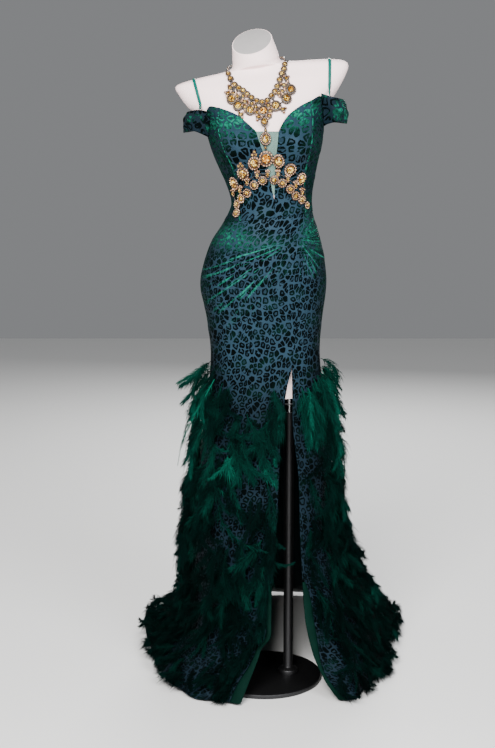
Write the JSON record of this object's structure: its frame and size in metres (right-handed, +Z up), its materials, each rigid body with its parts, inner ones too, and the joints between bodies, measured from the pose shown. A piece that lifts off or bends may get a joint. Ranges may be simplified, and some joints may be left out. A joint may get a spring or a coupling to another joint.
{
  "type": "satin sheath dress with its limbless dress form and stand",
  "caption": "Long satin and velvet sheath gown with a sweetheart bodice, feather tiers, a front slit and a small train, standing on a limbless dress form with a pole and a round base.",
  "frame": {"origin": "centre of the underside of the stand's base, on the floor", "axes": "+Z up the pole, -Y out of the gown's front, +X to the right of someone who looks at the front"},
  "size_m": [0.7356, 0.8431, 1.667],
  "materials": {
    "leopard_velvet_satin": "burnout velvet spots on satin",
    "teal_satin": "satin",
    "sheer_mesh": "sheer mesh",
    "emerald_feather": "feather",
    "amber_stone": "cut costume stones on metal backs",
    "form_shell": "smooth shell",
    "bright_steel": "polished"
  },
  "bodies": {
    "root": {"bodice_front_left": "leopard_velvet_satin", "bodice_front_right": "leopard_velvet_satin", "bodice_side_front_left": "leopard_velvet_satin", "bodice_side_front_right": "leopard_velvet_satin", "bodice_back_left": "leopard_velvet_satin", "bodice_back_right": "leopard_velvet_satin", "skirt_front_left": "leopard_velvet_satin", "skirt_front_right": "leopard_velvet_satin", "skirt_back_left": "leopard_velvet_satin", "skirt_back_right": "leopard_velvet_satin", "sleeve_band_left": "leopard_velvet_satin", "sleeve_band_right": "leopard_velvet_satin", "slit_facing_left": "teal_satin", "slit_facing_right": "teal_satin", "strap_left": "teal_satin", "strap_right": "teal_satin", "bodice_mesh_panel": "sheer_mesh", "feathers_left_1": "emerald_feather", "feathers_left_2": "emerald_feather", "feathers_left_3": "emerald_feather", "feathers_left_4": "emerald_feather", "feathers_left_5": "emerald_feather", "feathers_left_6": "emerald_feather", "feathers_left_7": "emerald_feather", "feathers_right_1": "emerald_feather", "feathers_right_2": "emerald_feather", "feathers_right_3": "emerald_feather", "feathers_right_4": "emerald_feather", "feathers_right_5": "emerald_feather", "feathers_right_6": "emerald_feather", "feathers_right_7": "emerald_feather", "crown_ornament": "amber_stone", "pendant_oval": "amber_stone", "necklace": "amber_stone", "form_torso": "form_shell", "stand_base": "bright_steel", "stand_pole": "bright_steel", "stand_collar": "bright_steel"}
  },
  "joints": []
}
